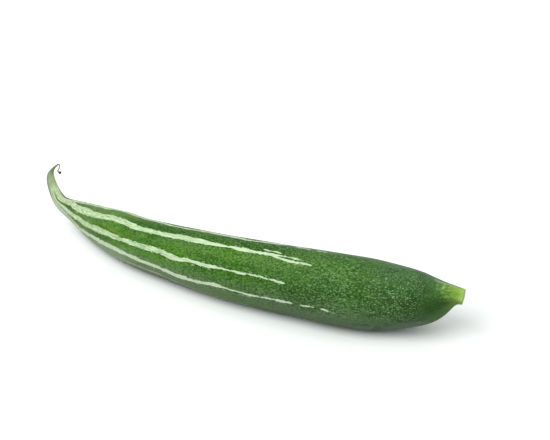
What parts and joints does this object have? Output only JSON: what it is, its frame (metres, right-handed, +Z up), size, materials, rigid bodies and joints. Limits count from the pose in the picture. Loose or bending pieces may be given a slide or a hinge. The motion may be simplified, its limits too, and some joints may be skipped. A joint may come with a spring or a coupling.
{
  "type": "snake gourd",
  "caption": "Whole striped snake gourd lying on its side, thick at the cut stem and tapering to a curled tail with its withered flower thread.",
  "frame": {"origin": "on the surface the gourd lies on, under the middle of its bounding box", "axes": "+X along the gourd from the tail to the cut stem, +Y across it, +Z up"},
  "size_m": [0.3153, 0.0572, 0.0466],
  "materials": {
    "striped_skin": "waxy green skin with pale broken stripes, fine pale flecks and a soft sheen",
    "stem_green": "ribbed lime green stalk, paler at the cut",
    "dry_thread": "dull dark brown, dry and shrivelled"
  },
  "bodies": {
    "root": {"fruit": "striped_skin", "cut_stem": "stem_green", "withered_flower": "dry_thread"}
  },
  "joints": []
}
